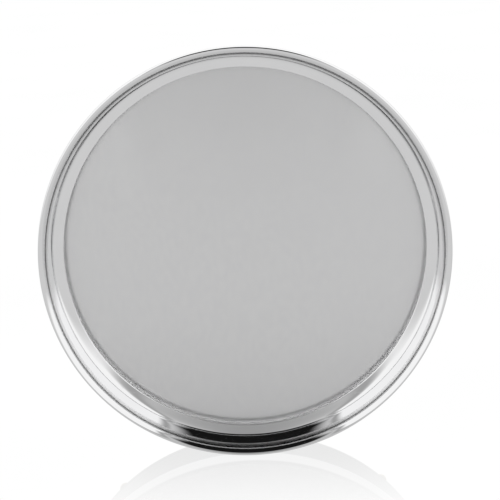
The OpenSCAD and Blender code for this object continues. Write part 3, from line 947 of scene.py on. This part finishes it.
head_h = washer_low.z - screw_low.z
shank_h = screw_high.z - washer_low.z
rim = (HEAD_R, 0)
screw_section = (
    [(0, -head_h)] + oval((0, -head_h * 0.72), HEAD_R * 0.9, head_h * 0.28, -85, -20, 6)
    + eased_corner((HEAD_R * 0.86, -head_h * 0.7), (HEAD_R, -head_h * 0.5), rim, HEAD_EASE)
    + eased_corner((HEAD_R, -head_h * 0.3), rim, (SHANK_R, 0), UNDER_EASE)
    + [(SHANK_R, 0), (SHANK_R, shank_h), (0, shank_h)])
screw = fastener("screw", screw_section, screw_brass)
slotted(screw, SLOT_W, head_h / 2, -head_h, HEAD_R * 1.5)
screw_places = [(p.x, p.y, washer_low.z) for p in button_pivots]
screws = set_out("button_screws_slotted", screw, screw_places, screw_brass, disc,
                 math.pi, SLOT_SEED)
fix(screws, "frame", "screw_brass", "turn_button_screws")

# ---- Hinge bracket ----
# Pressed zinc-plated steel: a flat plate with two ears bent out square, which carry the pin.
# All its edges are broken by tumbling, and four rivets hold it to the back board.

TUMBLED = 0.22


def plated(name, dark, light, rough):
    """Zinc plate: a faint crystal pattern, dull patches, and bright rubbed edges."""
    material, tree, place = new_finish(name)
    crystal = add(tree, "TexVoronoi", {"Vector": place, "Scale": 700.0}).outputs["Color"]
    grain = add(tree, "SeparateXYZ", {0: crystal}).outputs[0]
    cloud = noise_of(tree, place, 240.0, 4.0)
    bright = effect(tree, edge_wear, Vector=place, Width=0.00025, Breaks=400.0)["Mask"]
    wiped = effect(tree, scratches, Vector=place, Fineness=160.0, Cover=0.5)["Mask"]
    share = maths(tree, "ADD", times(tree, grain, 0.35), times(tree, cloud, 0.6))
    bright = maths(tree, "MAXIMUM", bright, times(tree, wiped, 0.8))
    shade(tree, Metallic=1.0,
          Base_Color=tint(tree, maths(tree, "MAXIMUM", share, bright), dark, light),
          Roughness=ramp(tree, cloud, 0.3, 0.7, rough, rough + 0.15),
          Normal=bump(tree, cloud, 0.1, 0.00004))
    return material


def eased_copy(node, name, finish, size):
    """A copy of a CAD node's own shape, closed up and with every sharp edge rounded."""
    piece = in_scene(name, frame["nodes"][node].data.copy())
    mesh = bmesh.new()
    mesh.from_mesh(piece.data)
    bmesh.ops.remove_doubles(mesh, verts=mesh.verts, dist=1e-6)
    bmesh.ops.dissolve_limit(mesh, angle_limit=math.radians(1), verts=mesh.verts, edges=mesh.edges)
    mesh.to_mesh(piece.data)
    mesh.free()
    rounding = piece.modifiers.new("ease", "BEVEL")
    rounding.width, rounding.segments = size * MM, 3
    rounding.limit_method, rounding.angle_limit = "ANGLE", math.radians(35)
    plain(piece)
    piece.data.materials.clear()
    piece.data.materials.append(finish)
    piece.data.shade_smooth()
    piece.data.set_sharp_from_angle(angle=math.radians(40))
    return piece


hinge_steel = plated("hinge_steel", (0.4, 0.4, 0.42), (0.72, 0.72, 0.75), 0.27)
bracket = eased_copy("hinge_bracket", "hinge_bracket_pressed", hinge_steel, TUMBLED)
fix(bracket, "frame", "hinge_steel", "hinge_bracket")

# ---- Bracket rivets ----
# Four steel rivets pass through the bracket, the velvet and the board, and are spread behind
# the board. Their heads are low domes with a faint ring from the rivet set.

RIVET_HEAD_R, RIVET_HEAD_H, RIVET_R, RIVET_TAIL_H = 1.7, 0.6, 0.9, 0.5
RIVET_RIM = 0.12
SET_MARK, SET_FROM, SET_TO = 0.05, 0.9, 1.25
RIVET_STEPS = 36


def rivet_head():
    """The section of a domed head that stands on height 0 and points to -Z, from its top down."""
    dome = oval((0, -RIVET_RIM), RIVET_HEAD_R, RIVET_HEAD_H - RIVET_RIM, -90, 0, 12)[1:]
    ring = [(r, z + (SET_MARK if SET_FROM < r < SET_TO else 0)) for r, z in dome]
    return [(0, -RIVET_HEAD_H)] + ring + [(RIVET_HEAD_R - 0.03, 0), (RIVET_R, 0)]


def centres_of(node, place):
    """Where the middle of each separate solid of a CAD node is, along a place's X and Y."""
    mesh = bmesh.new()
    mesh.from_mesh(frame["nodes"][node].data)
    bmesh.ops.remove_doubles(mesh, verts=mesh.verts, dist=1e-6)
    left, centres = set(mesh.verts), []
    while left:
        found, edge = set(), [min(left, key=lambda v: v.index)]
        while edge:
            vertex = edge.pop()
            if vertex not in found:
                found.add(vertex)
                edge += [e.other_vert(vertex) for e in vertex.link_edges]
        left -= found
        points = [place.inverted() @ vertex.co for vertex in found]
        centres.append([(min(p[i] for p in points) + max(p[i] for p in points)) / 2
                        for i in range(2)])
    mesh.free()
    return centres


rivet_steel = plated("rivet_steel", (0.42, 0.42, 0.44), (0.78, 0.78, 0.8), 0.22)
rivets_low, rivets_high = measured("bracket_rivets", disc)
grip = rivets_high.z - rivets_low.z - RIVET_HEAD_H
tail = [(RIVET_R, grip - RIVET_TAIL_H), (RIVET_HEAD_R - 0.1, grip - RIVET_TAIL_H),
        (RIVET_HEAD_R - 0.05, grip - 0.1), (RIVET_HEAD_R - 0.4, grip), (0, grip)]
rivet = fastener("rivet", rivet_head() + tail, rivet_steel, RIVET_STEPS)
rivet_at = centres_of("bracket_rivets", disc)
rivet_places = [(x, y, rivets_low.z + RIVET_HEAD_H) for x, y in rivet_at]
bracket_rivets = set_out("bracket_rivets_domed", rivet, rivet_places, rivet_steel, disc)
fix(bracket_rivets, "frame", "rivet_steel", "bracket_rivets")

# ---- Hinge pin ----
# A length of bright steel wire through both ears and the leaf's barrel. Each end is peened over
# into a small button, so that the pin can't work out.

PIN_R, PIN_HEAD_R, PIN_HEAD_H = 0.8, 1.3, 0.6
PIN_CROWN = 0.3
PIN_STEPS = 32

pin_at = Vector(joints["strut_hinge"]["pos_m"])
pin = Matrix.Translation(pin_at) @ disc_axes @ Matrix.Scale(MM, 4)
pin_half = measured("hinge_pin", pin)[1].x
crosswise = pin @ Matrix.Rotation(math.pi / 2, 4, "Y")
head_end = PIN_HEAD_H - pin_half
peened = ([(0, -pin_half)]
          + oval((0, -pin_half + PIN_CROWN), PIN_HEAD_R, PIN_CROWN, -80, 0, 8)
          + [(PIN_HEAD_R, head_end - 0.05), (PIN_HEAD_R - 0.06, head_end), (PIN_R, head_end)])
pin_section = peened + [(r, -z) for r, z in reversed(peened)]
pin_steel = steel("pin_steel", (0.38, 0.38, 0.4), (0.66, 0.66, 0.68), 0.2, 60.0, 1600.0)
hinge_pin = spun("hinge_pin_peened", pin_section, pin_steel, PIN_STEPS, crosswise)
fix(hinge_pin, "frame", "pin_steel", "hinge_pin")

# ---- Hinge leaf ----
# A strip of the same plated steel, curled into a barrel round the pin. Its heel butts against
# the bracket when the strut is fully open, and two rivets join it to the strut.

LEAF_TUMBLED = 0.8 * TUMBLED

leaf = eased_copy("hinge_leaf", "hinge_leaf_curled", hinge_steel, LEAF_TUMBLED)
fix(leaf, "strut", "hinge_steel", "hinge_leaf")

# ---- Strut board ----
# A tapered tongue of black-stained hardboard, sawn and sanded. It swings on the hinge, folds
# flat against the back, and props the frame up when it is open.

STRUT_EASE = 0.3

strut_black = board("strut_hardboard", (0.022, 0.019, 0.017), (0.07, 0.058, 0.05),
                    0.55, 420.0, 0.4)
strut_board = eased_copy("strut_board", "strut_board_sanded", strut_black, STRUT_EASE)
fix(strut_board, "strut", "strut_hardboard", "strut_board")

# ---- Strut velvet ----
# Flocked paper like the back's, glued down the strut's outer face from the leaf to the shoe,
# with its long edges rubbed soft. It takes the back's velvet finish.

VELVET_ROWS, VELVET_COLUMNS = 90, 22
SOFT_DROP, SOFT_EDGE = 0.12, 0.15

open_angle = -math.radians(joints["strut_hinge"]["range_deg"][0])
swung = disc_axes @ Matrix.Rotation(open_angle, 4, "X")
strut = Matrix.Translation(pin_at) @ swung @ Matrix.Scale(MM, 4)


def strut_pile(low, high):
    """The loops of a thin tapered sheet with soft edges, in the strut velvet's place."""
    points = points_of("strut_velvet", strut)
    top_half = max(p.x for p in points if p.y > high.y - SAME_PLACE)
    foot_half = max(p.x for p in points if p.y < low.y + SAME_PLACE)
    loops = []
    for y in sweep(low.y, high.y, VELVET_ROWS):
        half = foot_half + (top_half - foot_half) * (y - low.y) / (high.y - low.y)
        face = []
        for x in sweep(1, -1, VELVET_COLUMNS):
            near_edge = max(0, 1 - (half - abs(half * x)) / SOFT_EDGE)
            face.append(Vector((half * x, y, low.z + SOFT_DROP * near_edge**2)))
        loops.append(face + [Vector((-half, y, high.z)), Vector((half, y, high.z))])
    return loops


sheet_low, sheet_high = measured("strut_velvet", strut)
plain_velvet = bpy.data.materials["velvet"]
strut_loops = strut_pile(sheet_low, sheet_high)
strut_cover = lofted("strut_velvet_sheet", strut_loops, plain_velvet, strut)
napped(strut_cover, strut, sheet_low.z)
fix(strut_cover, "strut", "velvet", "strut_velvet")

# ---- Leaf rivets ----
# Two rivets of the same steel go through the leaf and the strut board. They are set from both
# sides, so that each end is a low dome.

leaf_rivet_low, leaf_rivet_high = measured("leaf_rivets", strut)
leaf_grip = leaf_rivet_high.z - leaf_rivet_low.z - 2 * RIVET_HEAD_H
far_head = [(r, leaf_grip - z) for r, z in reversed(rivet_head())]
leaf_rivet = fastener("rivet", rivet_head() + far_head, rivet_steel, RIVET_STEPS)
leaf_rivet_at = centres_of("leaf_rivets", strut)
leaf_places = [(x, y, leaf_rivet_low.z + RIVET_HEAD_H) for x, y in leaf_rivet_at]
leaf_rivets = set_out("leaf_rivets_domed", leaf_rivet, leaf_places, rivet_steel, strut)
fix(leaf_rivets, "strut", "rivet_steel", "leaf_rivets")

# ---- Strut shoe ----
# A moulded black rubber boot pushed over the strut's end, cut level with the table. Low ribs
# across its two faces give the fingers a grip.

RIB_R, RIB_SUNK = 0.28, 0.03
RIB_COUNT, RIB_PITCH = 4, 1.5
RIB_SHORT, RIB_DOWN = 2.2, 1.6
RIB_STEPS = 16
SHOE_EASE = 0.35


def moulded_rubber():
    material, tree, place = new_finish("shoe_rubber")
    grain = noise_of(tree, place, 2600.0)
    dust = ramp(tree, noise_of(tree, place, 120.0, 4.0), 0.5, 0.75)
    worn = effect(tree, edge_wear, Vector=place, Width=0.0004, Breaks=350.0)["Mask"]
    share = maths(tree, "MAXIMUM", times(tree, dust, 0.35), times(tree, worn, 0.6))
    shade(tree, Base_Color=tint(tree, share, (0.016, 0.016, 0.018), (0.07, 0.07, 0.072)),
          Roughness=ramp(tree, grain, 0.3, 0.7, 0.5, 0.68), Normal=bump(tree, grain, 0.35, 0.00006))
    return material


rubber = moulded_rubber()
shoe = eased_copy("strut_shoe", "strut_shoe_moulded", rubber, SHOE_EASE)
fix(shoe, "strut", "shoe_rubber", "strut_shoe")

shoe_low, shoe_high = measured("strut_shoe", strut)
rib_half = shoe_high.x - RIB_SHORT
rib_section = ([(0, -rib_half)] + oval((0, -rib_half + RIB_R), RIB_R, RIB_R, -75, 0, 5)
               + oval((0, rib_half - RIB_R), RIB_R, RIB_R, 0, 75, 5) + [(0, rib_half)])
rib = fastener("rib", rib_section, rubber, RIB_STEPS)
rib.data.transform(Matrix.Rotation(math.pi / 2, 4, "Y"))
rib_rows = [shoe_high.y - RIB_DOWN - RIB_PITCH * i for i in range(RIB_COUNT)]
rib_faces = (shoe_low.z + RIB_SUNK, shoe_high.z - RIB_SUNK)
rib_places = [(0, y, z) for y in rib_rows for z in rib_faces]
ribs = set_out("shoe_ribs", rib, rib_places, rubber, strut)
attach(ribs, "strut")

# ---- Bumper feet ----
# Two clear soft bumpers stuck under the ring, just behind the rolled edge. They stop the disc
# from rolling sideways; their tops follow the ring's wall.

FOOT_EASE = 0.5
FOOT_STEPS = 40
FOOT_SHARP = 50
HALVINGS = 40


def clear_silicone():
    material, tree, place = new_finish("foot_silicone")
    haze = noise_of(tree, place, 500.0)
    shade(tree, Base_Color=(0.93, 0.95, 0.96, 1), Transmission_Weight=0.9, IOR=1.41,
          Roughness=ramp(tree, haze, 0.3, 0.7, 0.12, 0.3), Normal=bump(tree, haze, 0.15, 0.00005))
    return material


def under_ring(x, y):
    """The height of the ring's wall above a point of the table, found by halving."""
    low, high = 0.0, disc_centre.z
    for _ in range(HALVINGS):
        height = (low + high) / 2
        p = disc.inverted() @ Vector((x, y, height))
        share = (p.z - ring_back.y) / (ring_front.y - ring_back.y)
        wall_r = ring_back.x + (ring_front.x - ring_back.x) * share
        low, high = (height, high) if math.hypot(p.x, p.y) > wall_r else (low, height)
    return low


def bumper(low, high, side):
    """The loops of one foot: a round base with a soft edge, and a top cut to the ring's wall."""
    radius = (high.y - low.y) / 2
    centre = Vector((side * (high.x - radius), (low.y + high.y) / 2, 0))
    soft = FOOT_EASE * MM
    around = [Vector((math.cos(a), math.sin(a), 0)) for a in sweep(0, 2 * math.pi, FOOT_STEPS)[:-1]]
    base = [(radius * 0.5, 0.0), (radius - soft, 0.0)]
    base += [(radius - soft * (1 - math.sin(a)), soft * (1 - math.cos(a)))
             for a in sweep(0.4, math.pi / 2, 4)]
    loops = [[centre + p * reach + Vector((0, 0, height)) for p in around]
             for reach, height in base]
    for share in (1, 0.66, 0.33):
        top = [centre + p * radius * share for p in around]
        loops.append([Vector((p.x, p.y, under_ring(p.x, p.y))) for p in top])
    return [[p / MM for p in loop] for loop in loops]


silicone = clear_silicone()
feet_low, feet_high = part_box("bumper_feet")
for side, word in ((-1, "left"), (1, "right")):
    foot = lofted(f"bumper_foot_{word}", bumper(feet_low, feet_high, side), silicone,
                  Matrix.Scale(MM, 4), FOOT_SHARP)
    fix(foot, "frame", "foot_silicone", "bumper_feet")
